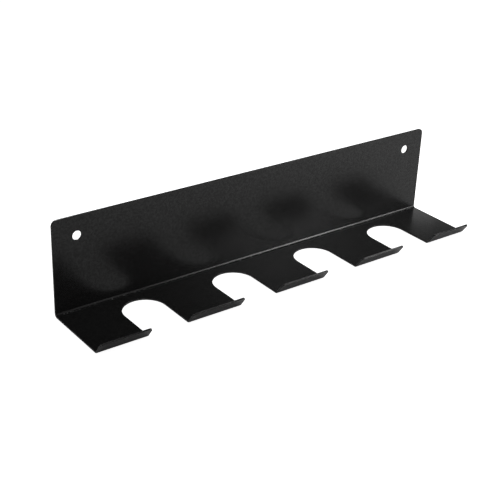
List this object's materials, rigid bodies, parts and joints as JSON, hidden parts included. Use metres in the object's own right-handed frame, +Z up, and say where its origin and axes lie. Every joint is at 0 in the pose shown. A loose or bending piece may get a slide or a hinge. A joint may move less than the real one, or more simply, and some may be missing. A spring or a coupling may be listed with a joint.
{
  "type": "power tool rack",
  "caption": "Wall rack folded from one steel sheet: a back plate with screw holes, and a shelf with open round-ended slots and upturned lips that power tools hang in.",
  "frame": {"origin": "on the wall plane (the back plate's rear face), midway between the two screw holes", "axes": "+X along the rack to the right as seen from the front, +Y into the wall, +Z up; tools are put in from -Y"},
  "size_m": [0.4, 0.0745, 0.085],
  "materials": {
    "black_powder_coat": "black powder coat on steel, semi-gloss, with a very fine grain"
  },
  "bodies": {
    "root": {"folded_steel_sheet": "black_powder_coat"}
  },
  "joints": []
}
